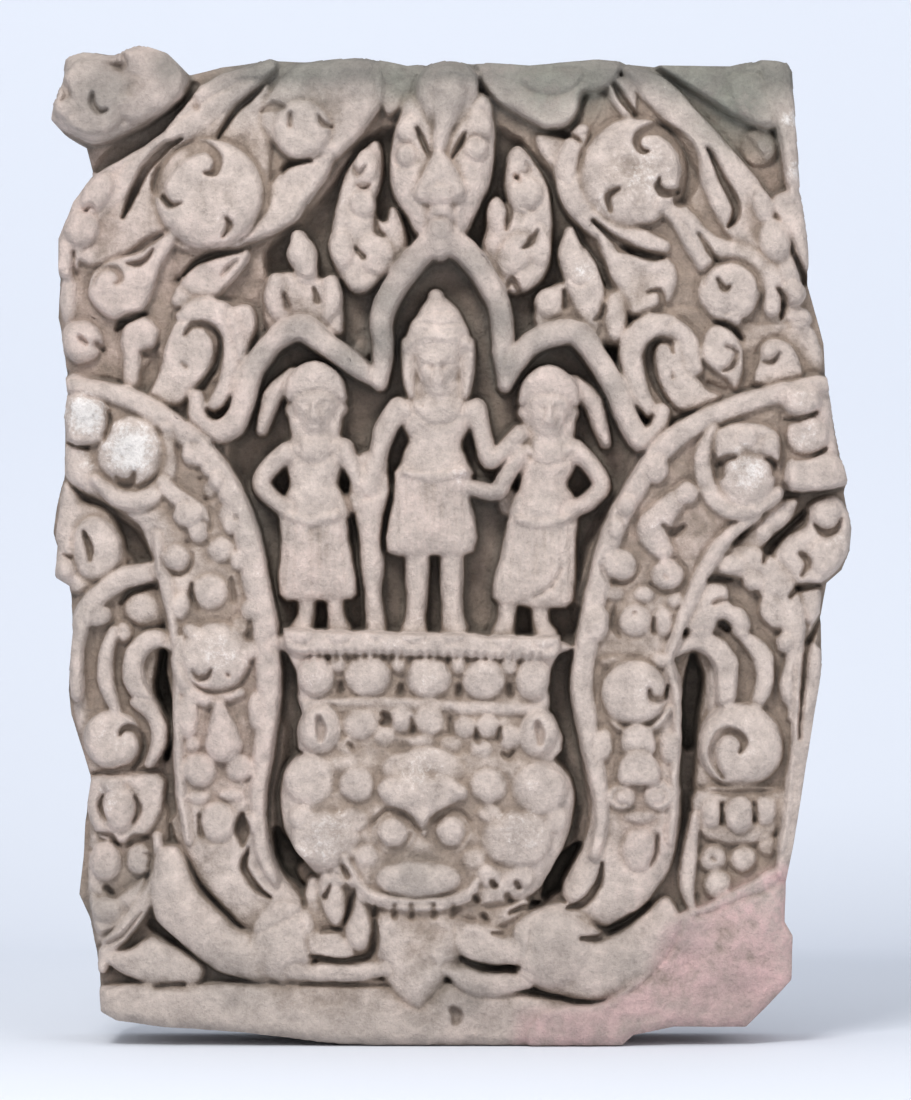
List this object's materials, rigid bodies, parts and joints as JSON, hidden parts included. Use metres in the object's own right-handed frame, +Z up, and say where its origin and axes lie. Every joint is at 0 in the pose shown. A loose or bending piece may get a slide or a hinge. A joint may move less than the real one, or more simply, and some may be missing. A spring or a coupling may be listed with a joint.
{
  "type": "stone relief panel",
  "caption": "Carved sandstone relief block: scroll foliage and a cusped arch over standing figures on a plinth, between arching trunks, above a monster mask.",
  "frame": {"origin": "bottom centre of the panel's overall box", "axes": "+Z up the panel, -Y out of the carved face, +X to the right as seen from the front"},
  "size_m": [0.577, 0.144, 0.72],
  "materials": {
    "sandstone": "weathered, granular, matt pinkish grey sandstone with pale lichen"
  },
  "bodies": {
    "root": {"stone_relief_panel": "sandstone"}
  },
  "joints": []
}
